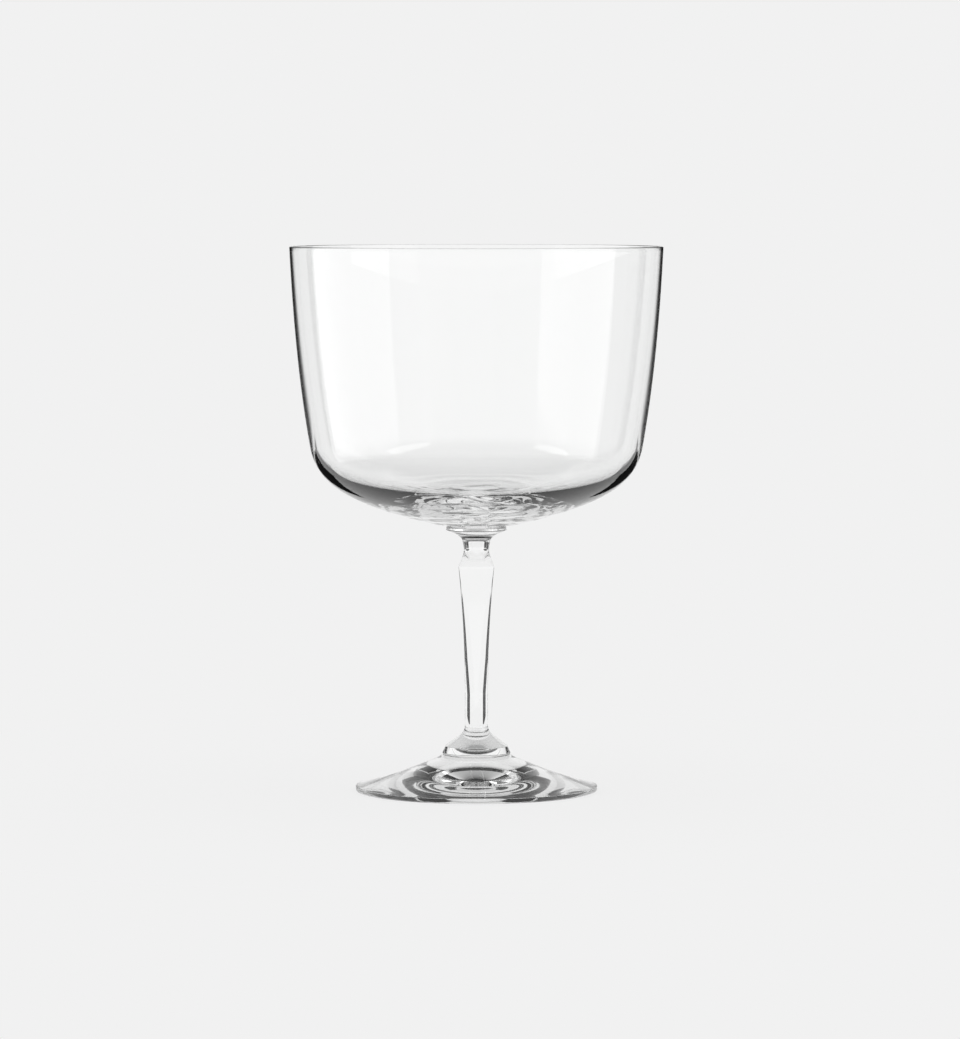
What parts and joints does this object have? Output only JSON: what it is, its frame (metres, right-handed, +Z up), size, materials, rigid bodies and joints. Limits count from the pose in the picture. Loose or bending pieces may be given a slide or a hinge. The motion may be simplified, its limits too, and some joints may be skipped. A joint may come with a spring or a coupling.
{
  "type": "stemmed ice cream glass",
  "caption": "Clear stemmed glass for ice cream: wide bowl with upright sides, square-shouldered stem between two collars, and a round foot with a slightly hollow underside.",
  "frame": {"origin": "centre of the foot on the surface that the glass stands on", "axes": "+Z up along the axis of the stem, one flat of the stem's square shoulder faces -Y"},
  "size_m": [0.111, 0.111, 0.162],
  "materials": {
    "bowl_glass": "clear, fire polished",
    "upper_collar_glass": "clear, fire polished",
    "stem_glass": "clear, pressed and fire polished",
    "lower_collar_glass": "clear, fire polished",
    "foot_glass": "clear, fire polished"
  },
  "bodies": {
    "root": {"bowl": "bowl_glass", "upper_collar": "upper_collar_glass", "stem": "stem_glass", "lower_collar": "lower_collar_glass", "foot": "foot_glass"}
  },
  "joints": []
}
